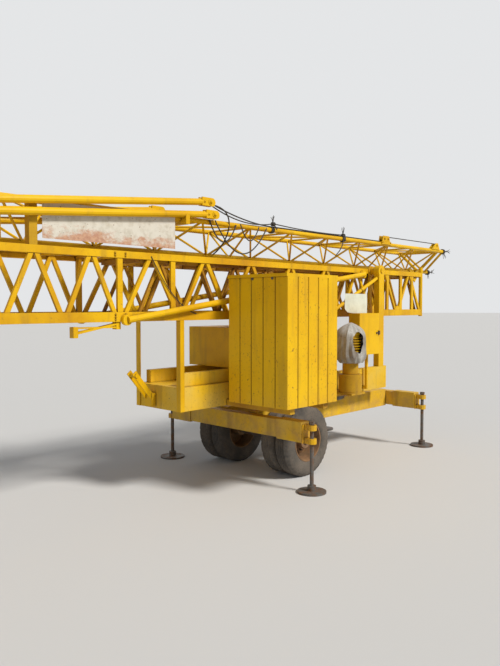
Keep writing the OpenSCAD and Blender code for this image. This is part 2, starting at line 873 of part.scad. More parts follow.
module jib_root() {
    ear_r = 75;
    arm_x = jib_low_start + 30;
    color(yellow) place() difference() {
        union() {
            for (s = [-1, 1]) {
                y0 = s > 0 ? ear_in : -ear_in - ear_t;
                ym = y0 + ear_t / 2;
                y_cylinder(hinge_x, hinge_z, ear_r, y0, y0 + ear_t);
                block([hinge_x, y0, hinge_z - ear_r], [arm_x, y0 + ear_t, hinge_z + ear_r]);
                rod([arm_x - 20, ym, hinge_z], [jib_start, s * jib_half_w, jib_top_z], jib_chord_r, 12);
                rod([jib_start + 20, s * jib_half_w, jib_top_z - 10],
                    [jib_start + 20, 0, jib_low_z + 20], jib_rod_r, 6);
            }
            rod([arm_x - 20, -ear_in, hinge_z - 60], [arm_x - 20, ear_in, hinge_z - 60], jib_chord_r, 12);
            tie_shaft();
        }
        y_cylinder(hinge_x, hinge_z, hinge_r + pin_gap, -ear_in - ear_t - 1, ear_in + ear_t + 1);
        lower_chord();
        for (s = [-1, 1]) jib_side(s);
        jib_web_rod(0);
    }
}

module jib_web_rod(i) {
    a = jib_first_x + i * jib_bay;
    rod([a, -jib_half_w, jib_top_z], [a, jib_half_w, jib_top_z], jib_rod_r, 6);
}

// A triangular pulley bracket under the end, a tip tube and its posts
nose_pin = [jib_low_end_x + 120, jib_low_z - 110];
module jib_nose() {
    plate_in = 40;
    plate_t = 16;
    tube_r = 30;
    tube_x = jib_low_end_x + 240;
    tip_x = jib_tip_x - 160;
    color(yellow) place() difference() {
        union() {
            for (y = [-plate_in - plate_t, plate_in])
                translate([0, y + plate_t, 0]) rotate([90, 0, 0]) linear_extrude(plate_t)
                    polygon([[jib_low_end_x - 120, jib_low_z + 50], [nose_pin[0], jib_low_z - 220],
                             [tube_x + 120, jib_low_z + 50], [tube_x + 20, jib_low_z + 50],
                             [nose_pin[0], jib_low_z - 30], [jib_low_end_x - 10, jib_low_z + 50]]);
            rod([tube_x, 0, jib_low_z], [jib_tip_x, 0, jib_low_z], tube_r, 12);
            block([tube_x, -plate_in, jib_low_z - 12], [tube_x + 80, plate_in, jib_low_z + 12]);
            block([jib_low_end_x - 110, -plate_in, jib_low_z - 12],
                  [jib_low_end_x - 20, plate_in, jib_low_z + 12]);
            for (s = [-1, 1]) {
                rod([tube_x + 100, 0, jib_low_z], [tube_x + 100, s * jib_half_w, jib_top_z], tube_r, 12);
                rod([tip_x, 0, jib_low_z], [tip_x - 40, s * jib_half_w, jib_top_z], tube_r - 8, 12);
            }
            rod([tip_x - 40, -jib_half_w, jib_top_z], [tip_x - 40, jib_half_w, jib_top_z], tube_r - 8, 12);
            y_cylinder(nose_pin[0], nose_pin[1], 18, -plate_in - plate_t - 12,
                       plate_in + plate_t + 12);
        }
        lower_chord();
        for (s = [-1, 1]) jib_side(s);
        jib_web_rod(jib_nodes);
    }
}

// A grooved sheave on the nose pin
module nose_sheave() {
    z = nose_pin[1];
    color(steel) place() y_revolve(nose_pin[0], z, [
        [18, -25], [90, -25], [90, -15], [76, 0], [90, 15], [90, 25], [18, 25]
    ]);
}

// Two tie tubes on one side, on a common pin, with fork ends and a strap between them
fork_pin_x = 40;
fork_pin_r = 14;
tie_tip_low = [-1440, jib_top_z + 90];
tie_tip_high = [-1510, jib_top_z + 240];
module tie_pair(s) {
    color(yellow) place() mirror([0, s < 0 ? 1 : 0, 0]) difference() {
        union() {
            rod([tie_pin[0], tie_y, tie_pin[1]],
                [tie_tip_low[0] - 120, tie_y, tie_tip_low[1] - 10], tie_r, 12);
            rod([tie_pin[0] + 150, tie_y, tie_pin[1] + 95],
                [tie_tip_high[0] - 120, tie_y, tie_tip_high[1] - 10], tie_r, 12);
            for (tip = [tie_tip_low, tie_tip_high]) {
                block([tip[0] - 180, tie_y - 37, tip[1] - 60], [tip[0], tie_y - 20, tip[1] + 45]);
                block([tip[0] - 180, tie_y + 20, tip[1] - 60], [tip[0], tie_y + 37, tip[1] + 45]);
            }
            block([tie_pin[0] + 60, tie_y - 12, tie_pin[1]], [tie_pin[0] + 220, tie_y + 12, tie_pin[1] + 110]);
            for (tip = [tie_tip_low, tie_tip_high])
                y_cylinder(tip[0] - fork_pin_x, tip[1] - 10, fork_pin_r, tie_y - 45, tie_y + 45);
            y_cylinder(tie_pin[0], tie_pin[1], 55, tie_y - tie_r - 4, tie_y + tie_r + 4);
        }
        y_cylinder(tie_pin[0], tie_pin[1], tie_pin_r, 0, tie_y + tie_r + 20);
    }
}

module tie_tubes() {
    for (s = [-1, 1]) tie_pair(s);
}

// A cross bar under the upper chords that carries the tie tubes
module tie_saddle() {
    x0 = -1960;
    w = 60;
    z0 = jib_top_z - 75;
    color(yellow) place() difference() {
        union() {
            block([x0, -tie_y - tie_r, z0], [x0 + w, tie_y + tie_r, z0 + 55]);
            for (s = [-1, 1])
                block([x0, s > 0 ? tie_y - tie_r : -tie_y - tie_r, z0],
                      [x0 + w, s > 0 ? tie_y + tie_r : -tie_y + tie_r, jib_top_z + 60]);
        }
        for (s = [-1, 1]) {
            upper_chord(s);
            rod([tie_pin[0], s * tie_y, tie_pin[1]],
                [tie_tip_low[0] - 120, s * tie_y, tie_tip_low[1] - 10], tie_r, 12);
            block([x0 - 20, s > 0 ? tie_y - tie_r - 1 : -tie_y - tie_r - 1, jib_top_z + 42],
                  [x0 + w + 20, s > 0 ? tie_y + tie_r + 1 : -tie_y + tie_r + 1, jib_top_z + 100]);
        }
    }
}

// The bare board with two hanging strips behind it
module name_board() {
    y = -jib_half_w - jib_chord_r;
    x0 = -3800;
    z0 = 3110;
    t = 3;
    color("white") place() difference() {
        union() {
            block([x0, y - t, z0], [x0 + board_l, y, z0 + board_h]);
            for (x = [x0 + 120, x0 + board_l - 160])
                block([x, y, z0 + 20], [x + 40, y + 8, jib_top_z]);
        }
        upper_chord(-1);
    }
}

// A rope block on the near upper chord, with two cheek plates and a sheave
block_x = 2700;
rope_z = jib_top_z + jib_chord_r + 70;
module rope_block_part() {
    y = -jib_half_w;
    z = jib_top_z + jib_chord_r;
    color(yellow) place() difference() {
        union() {
            block([block_x - 150, y - 45, z - 40], [block_x + 150, y + 30, z + 12]);
            for (dy = [-40, 28])
                translate([0, y + dy + 12, 0]) rotate([90, 0, 0]) linear_extrude(12)
                    polygon([[block_x - 130, z], [block_x + 130, z], [block_x + 90, z + 110],
                             [block_x - 100, z + 110]]);
            y_cylinder(block_x - 50, z + 60, 45, y - 28, y + 28, 24);
            y_cylinder(block_x + 60, z + 60, 45, y - 28, y + 28, 24);
        }
        upper_chord(-1);
    }
}

// A pulley bracket over the near upper chord at the nose
bracket_x = 4480;
module nose_bracket_part() {
    y = -jib_half_w;
    z = jib_top_z + jib_chord_r;
    color(yellow) place() difference() {
        union() {
            for (dy = [-40, 28])
                translate([0, y + dy + 12, 0]) rotate([90, 0, 0]) linear_extrude(12)
                    polygon([[bracket_x - 140, z - 15], [bracket_x + 170, z - 15],
                             [bracket_x + 110, z + 110], [bracket_x + 20, z + 110]]);
            block([bracket_x - 100, y - 28, z - 20], [bracket_x + 140, y + 28, z + 20]);
            y_cylinder(bracket_x + 60, z + 65, 40, y - 28, y + 28, 24);
        }
        upper_chord(-1);
    }
}

module pulley_blocks() {
    rope_block_part();
    nose_bracket_part();
}

// The taut rope from the block to the nose bracket
module taut_rope() {
    y = -jib_half_w;
    z = jib_top_z + jib_chord_r;
    color(steel) place() difference() {
        rod([block_x + 60, y, z + 98], [bracket_x + 60, y, z + 98], 8, 8);
        for (x = [block_x + 60, bracket_x + 60])
            y_cylinder(x, z + 60 + (x > 4000 ? 5 : 0), x > 4000 ? 40 : 45, y - 28, y + 28, 24);
    }
}

// A cable through a row of points
cable_r = 9;
module cable(points) {
    for (i = [0 : len(points) - 2])
        hull() {
            translate(points[i]) sphere(r = cable_r, $fn = 8);
            translate(points[i + 1]) sphere(r = cable_r, $fn = 8);
        }
}

// One cable comes off the tie tubes and lies along the near upper chord; another hangs
// in a loop under the lower tube's tip, outside the jib's side
cable_n = 22;
cable_a = [tie_tip_high[0] - fork_pin_x + fork_pin_r + 8.4, -tie_y, tie_tip_high[1] - 10];
cable_b = [-250, -jib_half_w, jib_top_z + jib_chord_r + 8.4];
cable_c = [block_x - 165, -jib_half_w, cable_b[2]];
loop_y = -jib_half_w - jib_chord_r - cable_r;
loop_a = [tie_tip_low[0] - 60, loop_y, tie_tip_low[1] - 68.4];
loop_b = [tie_tip_low[0] + 420, loop_y, jib_top_z - 2];
function droop(a, b, sag, n) = [
    for (i = [0 : n]) let (t = i / n)
        [a[0] + (b[0] - a[0]) * t, a[1] + (b[1] - a[1]) * t,
         a[2] + (b[2] - a[2]) * t - 4 * sag * t * (1 - t)]
];
module slack_cables() {
    color(steel) place() {
        cable(concat(droop(cable_a, cable_b, (cable_a[2] - cable_b[2]) / 4, cable_n), [cable_c]));
        cable(droop(loop_a, loop_b, 250, cable_n));
    }
}

chassis_frame();
front_cross_beam();
rear_cross_beam();
jack_brackets();
axle();
ring_base();
near_front_jack();
far_front_jack();
near_rear_jack();
far_rear_jack();
near_tyres();
near_rims();
far_tyres();
far_rims();
turntable();
rear_fork();
front_deck();
front_posts();
tow_bracket();
winch_housing();
machine_house();
house_roof();
house_arms();
derricks();
control_cabinet();
slew_drive();
drive_cover();
notice_sheet();
mast_near_side();
mast_far_side();
mast_top_web();
mast_bottom_web();
inner_mast();
mast_head();
mast_foot();
side_struts();
hanging_link();
jib_rest();
jib_near_side();
jib_far_side();
jib_low_chord();
jib_top_web();
jib_root();
jib_nose();
nose_sheave();
tie_tubes();
tie_saddle();
name_board();
pulley_blocks();
taut_rope();
slack_cables();
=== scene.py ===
import math
import random
import bpy
import bmesh
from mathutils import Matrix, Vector, noise


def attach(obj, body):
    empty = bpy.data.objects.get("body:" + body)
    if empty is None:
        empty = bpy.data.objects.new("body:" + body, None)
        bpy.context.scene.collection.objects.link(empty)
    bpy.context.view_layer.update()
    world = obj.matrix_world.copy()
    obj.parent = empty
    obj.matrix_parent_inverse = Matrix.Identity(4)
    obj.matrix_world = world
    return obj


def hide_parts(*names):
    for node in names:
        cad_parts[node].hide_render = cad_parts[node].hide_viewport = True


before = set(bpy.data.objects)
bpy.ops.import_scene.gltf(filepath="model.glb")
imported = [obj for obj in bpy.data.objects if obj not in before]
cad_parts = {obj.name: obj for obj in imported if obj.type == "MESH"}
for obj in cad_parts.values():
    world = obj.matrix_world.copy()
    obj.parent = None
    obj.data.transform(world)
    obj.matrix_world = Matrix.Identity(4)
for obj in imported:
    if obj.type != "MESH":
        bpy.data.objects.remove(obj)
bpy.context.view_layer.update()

random.seed(7)

# Lengths are in metres. X runs to the rear of the crane, -Y is its near side and Z is up.
AXLE_X = 0.925                       # X of the wheels' axle, from which at() measures
WHEEL_R = 0.5                        # outer radius of the tyres, and height of the axle
JIB_Y, JIB_Z = 0.42, 3.49            # the jib's upper chords
CHORD_TIE_R = 0.0365                 # inner radius of a tie round an upper chord
TIE_END_X, TIE_END_Z = -1.5276, 3.72  # where the cables leave the upper tie tube's end
MAST_TOP_Z, MAST_LOW_Z = 3.0, 2.32   # where the slipped wire meets the mast's legs
MAST_JOINT_X = -2.82                 # lower node of the mast's sides beside its joint
MAST_PITCH = 0.8475                  # distance between two such nodes
POLE = 0.0001                        # radius that closes a revolved profile at its axis


def at(x, y, z):
    """A place whose X is measured from the wheels' axle."""
    return (x + AXLE_X, y, z)


# ---------------------------------------------------------------- helpers
def put(name, data):
    """Puts a new object with this data into the scene."""
    ob = bpy.data.objects.new(name, data)
    bpy.context.scene.collection.objects.link(ob)
    return ob


def add(name, bm, body, mat, smooth=False):
    """Makes an object of a bmesh, gives it a material and lets it ride on a body."""
    me = bpy.data.meshes.new(name)
    bm.normal_update()
    bm.to_mesh(me)
    bm.free()
    for p in me.polygons:
        p.use_smooth = smooth
    ob = put(name, me)
    me.materials.append(mat)
    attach(ob, body)
    return ob


def turn(count):
    """The angles that share out a full turn."""
    return [2 * math.pi * i / count for i in range(count)]


def revolve(bm, profile, centre, axis, seg, wave=None):
    """Turns a closed profile of (radius, along) points round an axis through centre.

    wave(i, j) is added to the radius of profile point j at step i of the turn.
    """
    rings = []
    for i, a in enumerate(turn(seg)):
        ring = []
        for j, (r, h) in enumerate(profile):
            rr = r + (wave(i, j) if wave else 0.0)
            c, s = rr * math.cos(a), rr * math.sin(a)
            offset = {"X": (h, c, s), "Y": (c, h, s), "Z": (c, s, h)}[axis]
            ring.append(bm.verts.new([p + q for p, q in zip(centre, offset)]))
        rings.append(ring)
    n = len(profile)
    for i in range(seg):
        a, b = rings[i], rings[(i + 1) % seg]
        for j in range(n):
            k = (j + 1) % n
            bm.faces.new((a[j], a[k], b[k], b[j]))


def band(bm, centre, axis, r_in, r_out, start, end, seg):
    """A flat ring from start to end along its axis."""
    revolve(bm, [(r_in, start), (r_out, start), (r_out, end), (r_in, end)], centre, axis, seg)


def disc(bm, centre, axis, r, start, end, seg):
    """A round plate, or a prism with few segments, from start to end along its axis."""
    band(bm, centre, axis, POLE, r, start, end, seg)


def bar(bm, p, q, r, sides):
    """A round bar between two points."""
    p, q = Vector(p), Vector(q)
    d = q - p
    place = d.to_track_quat("Z", "Y").to_matrix().to_4x4()
    place.translation = p
    lo, hi = [], []
    for a in turn(sides):
        x, y = r * math.cos(a), r * math.sin(a)
        lo.append(bm.verts.new(place @ Vector((x, y, 0))))
        hi.append(bm.verts.new(place @ Vector((x, y, d.length))))
    close_sides(bm, lo, hi)
    bm.faces.new(list(reversed(lo)))
    bm.faces.new(hi)


def close_sides(bm, lo, hi):
    """Joins two outlines of as many points by quads."""
    for i in range(len(lo)):
        k = (i + 1) % len(lo)
        bm.faces.new((lo[i], lo[k], hi[k], hi[i]))


def box(bm, a, b):
    """A box between two corners."""
    vs = [bm.verts.new((x, y, z))
          for x in (a[0], b[0]) for y in (a[1], b[1]) for z in (a[2], b[2])]
    for f in ((0, 1, 3, 2), (4, 6, 7, 5), (0, 4, 5, 1), (2, 3, 7, 6), (0, 2, 6, 4), (1, 5, 7, 3)):
        bm.faces.new([vs[i] for i in f])


# ---------------------------------------------------------------- camera
def aim_camera():
    """The camera of the photo, as fitted to its vanishing lines."""
    data = bpy.data.cameras.new("camera")
    cam = put("camera", data)
    bpy.context.scene.camera = cam
    data.sensor_fit = "HORIZONTAL"
    data.sensor_width = 36.0
    data.lens = 46.08
    data.clip_end = 200.0
    cam.location = at(-7.072, -6.5, 2.43)
    forward = Vector((0.7224, 0.6901, -0.0437))
    cam.rotation_euler = forward.normalized().to_track_quat("-Z", "Y").to_euler()


aim_camera()


# ---------------------------------------------------------------- materials
class Nodes:
    """Short calls for building a material's node tree."""

    def __init__(self, name):
        self.mat = bpy.data.materials.new(name)
        self.mat.use_nodes = True
        self.tree = self.mat.node_tree
        self.bsdf = self.tree.nodes["Principled BSDF"]
        self.coord = self.tree.nodes.new("ShaderNodeTexCoord").outputs["Object"]

    def link(self, a, b):
        """Links output a to input b."""
        self.tree.links.new(a, b)

    def feed(self, sock, value):
        """Links a socket to another one, or sets it to a number."""
        if isinstance(value, (int, float)):
            sock.default_value = value
        else:
            self.link(value, sock)

    def finish(self, colour, roughness):
        """Gives the surface its colour and roughness, and returns the material."""
        self.link(colour, self.bsdf.inputs["Base Color"])
        self.feed(self.bsdf.inputs["Roughness"], roughness)
        return self.mat

    def noise(self, scale, detail=4.0, rough=0.55, stretch=(1, 1, 1), shift=(0, 0, 0)):
        """Noise in the object's own space, with scale in features to a metre."""
        m = self.tree.nodes.new("ShaderNodeMapping")
        m.inputs["Scale"].default_value = stretch
        m.inputs["Location"].default_value = shift
        self.link(self.coord, m.inputs["Vector"])
        n = self.tree.nodes.new("ShaderNodeTexNoise")
        n.inputs["Scale"].default_value = scale
        n.inputs["Detail"].default_value = detail
        n.inputs["Roughness"].default_value = rough
        self.link(m.outputs["Vector"], n.inputs["Vector"])
        return n.outputs["Fac"]

    def ramp(self, fac, lo, hi, a=0.0, b=1.0):
        """A smooth step of fac from lo to hi, giving a to b."""
        n = self.tree.nodes.new("ShaderNodeMapRange")
        n.interpolation_type = "SMOOTHSTEP"
        n.inputs["From Min"].default_value = lo
        n.inputs["From Max"].default_value = hi
        n.inputs["To Min"].default_value = a
        n.inputs["To Max"].default_value = b
        self.link(fac, n.inputs["Value"])
        return n.outputs["Result"]

    def math(self, op, a, b):
        """An operation on two values, held to 0 and 1."""
        n = self.tree.nodes.new("ShaderNodeMath")
        n.operation = op
        n.use_clamp = True
        self.feed(n.inputs[0], a)
        self.feed(n.inputs[1], b)
        return n.outputs[0]

    def mix(self, fac, a, b):
        """The colour a, or b where fac is 1."""
        n = self.tree.nodes.new("ShaderNodeMix")
        n.data_type = "RGBA"
        self.link(fac, n.inputs["Factor"])
        for key, v in (("A", a), ("B", b)):
            sock = [s for s in n.inputs if s.name == key and s.type == "RGBA"][0]
            if isinstance(v, tuple):
                sock.default_value = (*v, 1.0)
            else:
                self.link(v, sock)
        return [s for s in n.outputs if s.type == "RGBA"][0]

    def height(self):
        """The height over the ground."""
        n = self.tree.nodes.new("ShaderNodeSeparateXYZ")
        self.link(self.coord, n.inputs[0])
        return n.outputs["Z"]

    def crevice_shade(self, distance):
        """How much painted shade, also standing for grime, a spot gets for lying in a corner or
        gap: ambient occlusion mapped from 0 to 0.85.
        """
        n = self.tree.nodes.new("ShaderNodeAmbientOcclusion")
        n.samples = 6
        n.inputs["Distance"].default_value = distance
        return self.ramp(n.outputs["AO"], 0.35, 0.85, 0.85, 0.0)

    def bump(self, height, strength, distance, bevel=0.0):
        """Relief from a height, over edges that look rounded by the radius bevel."""
        b = self.tree.nodes.new("ShaderNodeBump")
        b.inputs["Strength"].default_value = strength
        b.inputs["Distance"].default_value = distance
        self.link(height, b.inputs["Height"])
        if bevel:
            v = self.tree.nodes.new("ShaderNodeBevel")
            v.samples = 4
            v.inputs["Radius"].default_value = bevel
            self.link(v.outputs["Normal"], b.inputs["Normal"])
        self.link(b.outputs["Normal"], self.bsdf.inputs["Normal"])


def paint(name, base, faded, rust_at=0.66, dirt=0.5, rough=0.42, low_dirt=1.3, low_rust=0.0):
    """Weathered machine paint: faded patches, streaks, chips down to rust, dust low down, and
    painted shade darkening corners and gaps.

    A lower rust_at gives more chips. The dust ends at the height low_dirt, and low_rust is
    the strength of the rust spots near the ground.
    """
    streak_brown, grime_brown = (0.23, 0.13, 0.03), (0.16, 0.085, 0.03)
    chip_rust, spot_rust = (0.17, 0.06, 0.02), (0.20, 0.075, 0.02)
    dust, gap_shade_and_grime = (0.36, 0.2, 0.1), (0.10, 0.045, 0.012)
    n = Nodes(name)
    col = n.mix(n.ramp(n.noise(1.6, 5.0), 0.35, 0.7), base, faded)
    streak = n.ramp(n.noise(7.0, 3.0, stretch=(1, 1, 0.12)), 0.52, 0.72)
    col = n.mix(n.math("MULTIPLY", streak, 0.45 * dirt), col, streak_brown)
    grime = n.ramp(n.noise(22.0, 6.0, 0.7), 0.55, 0.75)
    col = n.mix(n.math("MULTIPLY", grime, 0.5 * dirt), col, grime_brown)
    chips = n.ramp(n.noise(31.0, 8.0, 0.75), rust_at, rust_at + 0.035)
    patch = n.ramp(n.noise(2.3, 3.0, shift=(5, 3, 1)), 0.42, 0.6)
    chips = n.math("MULTIPLY", chips, patch)
    col = n.mix(chips, col, chip_rust)
    z = n.height()
    low = n.ramp(z, 0.5, low_dirt, 0.75, 0.0)
    low = n.math("MULTIPLY", low, n.ramp(n.noise(5.0, 6.0, 0.7), 0.3, 0.75))
    col = n.mix(low, col, dust)
    if low_rust:
        spots = n.ramp(n.noise(26.0, 7.0, 0.72, shift=(2, 4, 1)), 0.60, 0.66)
        spots = n.math("MULTIPLY", spots, n.ramp(z, 1.2, 2.5, low_rust, 0.0))
        col = n.mix(spots, col, spot_rust)
    # painted shade: dark brown laid into corners and gaps from ambient occlusion, also standing
    # for grime there
    col = n.mix(n.crevice_shade(0.035), col, gap_shade_and_grime)
    n.bsdf.inputs["Specular IOR Level"].default_value = 0.22
    relief = n.math("SUBTRACT", n.noise(55.0, 3.0), n.math("MULTIPLY", chips, 0.6))
    n.bump(relief, 0.12, 0.004, 0.004)
    return n.finish(col, n.ramp(grime, 0, 1, rough, min(rough + 0.3, 0.95)))


def bare_steel():
    """Dark steel with brown rust in patches."""
    n = Nodes("bare_steel")
    rust = n.ramp(n.noise(9.0, 6.0, 0.7), 0.4, 0.65)
    col = n.mix(rust, (0.12, 0.115, 0.105), (0.17, 0.085, 0.04))
    col = n.mix(n.ramp(n.noise(60.0, 3.0), 0.5, 0.8), col, (0.05, 0.04, 0.035))
    n.bsdf.inputs["Metallic"].default_value = 0.25
    n.bump(n.noise(40.0, 5.0), 0.25, 0.004, 0.003)
    return n.finish(col, n.ramp(rust, 0, 1, 0.6, 0.92))


def dusty_rubber():
    """Grey rubber under dry dust."""
    n = Nodes("dusty_rubber")
    dust = n.ramp(n.noise(3.5, 5.0, 0.6), 0.25, 0.75)
    col = n.mix(dust, (0.060, 0.054, 0.047), (0.165, 0.135, 0.105))
    col = n.mix(n.ramp(n.noise(70.0, 4.0), 0.5, 0.75), col, (0.045, 0.04, 0.035))
    n.bump(n.noise(90.0, 4.0), 0.3, 0.003)
    return n.finish(col, 0.9)


def board_white():
    """White painted sheet with rust that has come up from its lower edge."""
    edge_z, clean_z = 3.10, 3.40
    n = Nodes("board_white")
    rise = n.ramp(n.height(), edge_z, clean_z, 1.0, 0.0)
    blot = n.noise(4.2, 9.0, 0.78, stretch=(0.6, 1, 1.0), shift=(0.4, 0, 0.3))
    rust = n.ramp(n.math("ADD", n.math("MULTIPLY", rise, 0.30), blot), 0.64, 0.80)
    col = n.mix(n.ramp(n.noise(14.0, 5.0), 0.4, 0.8), (0.66, 0.62, 0.53), (0.50, 0.45, 0.35))
    tint = n.mix(n.ramp(n.noise(24.0, 6.0), 0.4, 0.65), (0.42, 0.15, 0.06), (0.55, 0.27, 0.13))
    col = n.mix(n.math("MULTIPLY", rust, 0.8), col, tint)
    spot = n.ramp(n.noise(38.0, 5.0), 0.66, 0.7)
    col = n.mix(spot, col, (0.2, 0.1, 0.05))
    n.bump(n.noise(30.0, 4.0), 0.1, 0.003)
    return n.finish(col, 0.55)


def dirty_film():
    """Dirty whitish plastic film with brown dust."""
    n = Nodes("dirty_film")
    dirt = n.ramp(n.noise(4.5, 5.0, 0.6, stretch=(1, 1, 0.45)), 0.38, 0.72)
    col = n.mix(dirt, (0.43, 0.42, 0.385), (0.19, 0.15, 0.11))
    col = n.mix(n.ramp(n.noise(26.0, 5.0, 0.7), 0.55, 0.72), col, (0.12, 0.08, 0.05))
    n.bsdf.inputs["Sheen Weight"].default_value = 0.1
    n.bump(n.noise(16.0, 4.0, 0.5), 0.22, 0.008)
    return n.finish(col, 0.42)


def faded_paper():
    """Paper that the sun has turned greenish yellow."""
    n = Nodes("faded_paper")
    col = n.mix(n.ramp(n.noise(5.0, 4.0), 0.4, 0.75), (0.70, 0.72, 0.60), (0.58, 0.58, 0.46))
    n.bump(n.noise(120.0, 3.0), 0.1, 0.001)
    return n.finish(col, 0.7)


def dark_rope():
    """Black cable sheath and greased wire."""
    n = Nodes("dark_rope")
    col = n.mix(n.noise(80.0, 3.0), (0.018, 0.017, 0.015), (0.07, 0.06, 0.05))
    n.bump(n.noise(160.0, 2.0), 0.5, 0.003)
    return n.finish(col, 0.7)


YELLOW = paint("yellow_paint", (0.80, 0.475, 0.003), (0.66, 0.36, 0.003))
HOUSE = paint("house_paint", (0.79, 0.475, 0.003), (0.72, 0.40, 0.003),
              rust_at=0.60, dirt=0.55, rough=0.5, low_dirt=1.55, low_rust=0.85)
MAST = paint("mast_paint", (0.78, 0.455, 0.004), (0.58, 0.29, 0.004),
             rust_at=0.62, dirt=0.8, rough=0.5)
DARK = paint("dull_paint", (0.56, 0.32, 0.01), (0.36, 0.18, 0.012),
             rust_at=0.60, dirt=0.9, rough=0.6)
FADED = paint("faded_paint", (0.76, 0.455, 0.006), (0.70, 0.47, 0.07),
              rust_at=0.60, dirt=0.9, rough=0.55, low_dirt=1.45)
INNER = paint("rusty_inner_paint", (0.46, 0.23, 0.012), (0.24, 0.095, 0.012),
              rust_at=0.56, dirt=1.0, rough=0.65)
STEEL = bare_steel()
RIM = paint("rim_paint", (0.20, 0.12, 0.06), (0.10, 0.065, 0.04),
            rust_at=0.58, dirt=1.0, rough=0.75)
RUBBER = dusty_rubber()
BOARD = board_white()
FILM = dirty_film()
PAPER = faded_paper()
ROPE = dark_rope()

# What isn't named here is YELLOW.
PAINTED = (
    (HOUSE, ("machine_house", "house_roof")),
    (MAST, ("mast_near_side", "mast_far_side", "mast_top_web", "mast_bottom_web")),
    (DARK, ("turntable", "house_arms", "slew_drive", "jib_rest")),
    (FADED, ("front_deck", "rear_fork", "chassis_frame", "front_cross_beam", "rear_cross_beam")),
    (INNER, ("inner_mast",)),
    (STEEL, ("axle", "ring_base", "nose_sheave", "near_front_jack", "far_front_jack",
             "near_rear_jack", "far_rear_jack")),
    (RIM, ("near_rims", "far_rims")),
    (RUBBER, ("near_tyres", "far_tyres")),
    (BOARD, ("name_board",)),
    (ROPE, ("slack_cables", "taut_rope")),
)
MATERIAL_OF = {node: mat for mat, nodes in PAINTED for node in nodes}
for node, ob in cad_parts.items():
    ob.data.materials.clear()
    ob.data.materials.append(MATERIAL_OF.get(node, YELLOW))


# ---------------------------------------------------------------- slack cables
TIE_1 = at(-0.27, -0.46, 3.575)      # where the second cable is tied to the jib's chord
TIE_2 = at(1.45, -0.437, 3.553)


def droop(a, b, sag, n):
    """The points of a line from a to b that sags by a parabola."""
    pts = []
    for i in range(n + 1):
        t = i / n
        p = [a[k] + (b[k] - a[k]) * t for k in range(3)]
        p[2] -= 4 * sag * t * (1 - t)
        pts.append(p)
    return pts


def bezier(guides, n):
    """The points of a cubic curve with four guide points."""
    pts = []
    for i in range(n + 1):
        u = i / n
        w = ((1 - u) ** 3, 3 * u * (1 - u) ** 2, 3 * u * u * (1 - u), u ** 3)
        pts.append([sum(c * g[k] for c, g in zip(w, guides)) for k in range(3)])
    return pts


def cable(name, pts, body, radius):
    """A dark cord along pts that hangs from the object at both ends."""
    cu = bpy.data.curves.new(name, "CURVE")
    cu.dimensions = "3D"
    cu.bevel_depth = radius
    cu.bevel_resolution = 3
    sp = cu.splines.new("POLY")
    sp.points.add(len(pts) - 1)
    for q, p in zip(sp.points, pts):
        q.co = (*p, 1)
    ob = put(name, cu)
    cu.materials.append(ROPE)
    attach(ob, body)
    if body == "jib":
        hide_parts("slack_cables")


def slack_cables():
    """The cables that hang between the tie tubes and the jib, and one wire in the mast."""
    thick, thin, wire = 0.009, 0.008, 0.005    # radii
    # the upper cable droops to the chord and is level from there on
    high = at(TIE_END_X, -0.505, TIE_END_Z)
    low = at(-0.25, -JIB_Y, 3.5334)
    level, steps = 2.785, 14
    route = droop(high, low, (high[2] - low[2]) / 4, 22)
    for k in range(1, steps + 1):
        route.append((low[0] + k / steps * level, low[1], low[2]))
    cable("upper_cable", route, "jib", thick)
    cable("hanging_loop", droop(at(-1.5, -0.464, 3.5116), at(-1.02, -0.464, 3.488), 0.25, 22),
          "jib", thick)
    first = droop(at(TIE_END_X, -0.475, 3.715), TIE_1, 0.10, 18)
    cable("second_cable", first + droop(TIE_1, TIE_2, 0.022, 18)[1:], "jib", thin)
    cable("wide_loop", droop(at(-1.42, -0.484, 3.51), at(-0.44, -0.484, 3.49), 0.385, 28),
          "jib", thick)
    guides = ((TIE_END_X, -0.50, 3.70), (-0.98, -0.53, 3.70), (-1.16, -0.44, 3.22),
              (-1.03, -0.03, 3.13))
    cable("drop_cable", [at(*p) for p in bezier(guides, 24)], "jib", thick)
    cable("narrow_loop", droop(at(-0.98, -0.505, 3.50), at(-0.62, -0.505, 3.49), 0.20, 20),
          "jib", thin)
    # a wire that has slipped down between the mast's legs
    top, foot = at(-2.42, -0.4555, MAST_TOP_Z), at(-1.72, -0.4555, MAST_LOW_Z)
    cable("slipped_wire", droop(top, foot, 0.13, 20), "mast", wire)


slack_cables()


